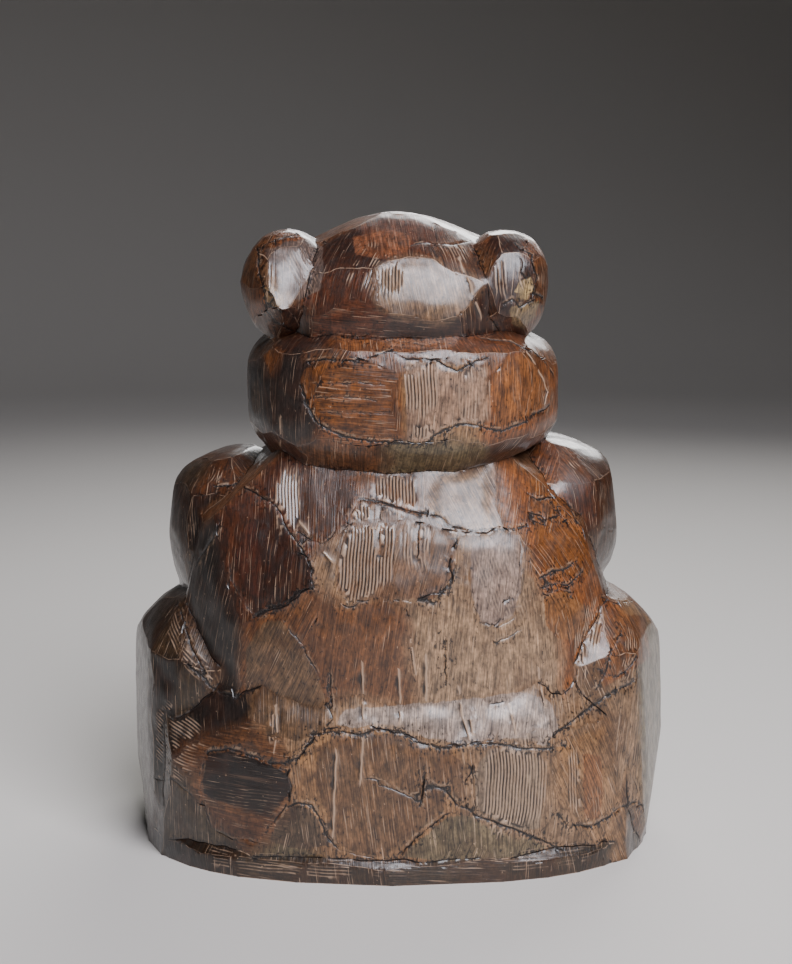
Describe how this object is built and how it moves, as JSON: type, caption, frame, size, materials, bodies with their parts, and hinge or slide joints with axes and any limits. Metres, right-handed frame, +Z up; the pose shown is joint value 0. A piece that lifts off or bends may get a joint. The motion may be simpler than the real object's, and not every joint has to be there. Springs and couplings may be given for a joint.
{
  "type": "resin bear sculpture",
  "caption": "Seated bear ornament, block-carved in broad flat facets, cast hollow in resin and finished like dark stained wood.",
  "frame": {"origin": "on the flat underside, on the ground, under the middle of the body between the two haunches", "axes": "+Z up along the bear's height, +Y the way the bear faces, +X to the right of someone looking at its back"},
  "size_m": [0.2623, 0.1985, 0.3009],
  "materials": {
    "resin": "satin"
  },
  "bodies": {
    "root": {"bear": "resin"}
  },
  "joints": []
}
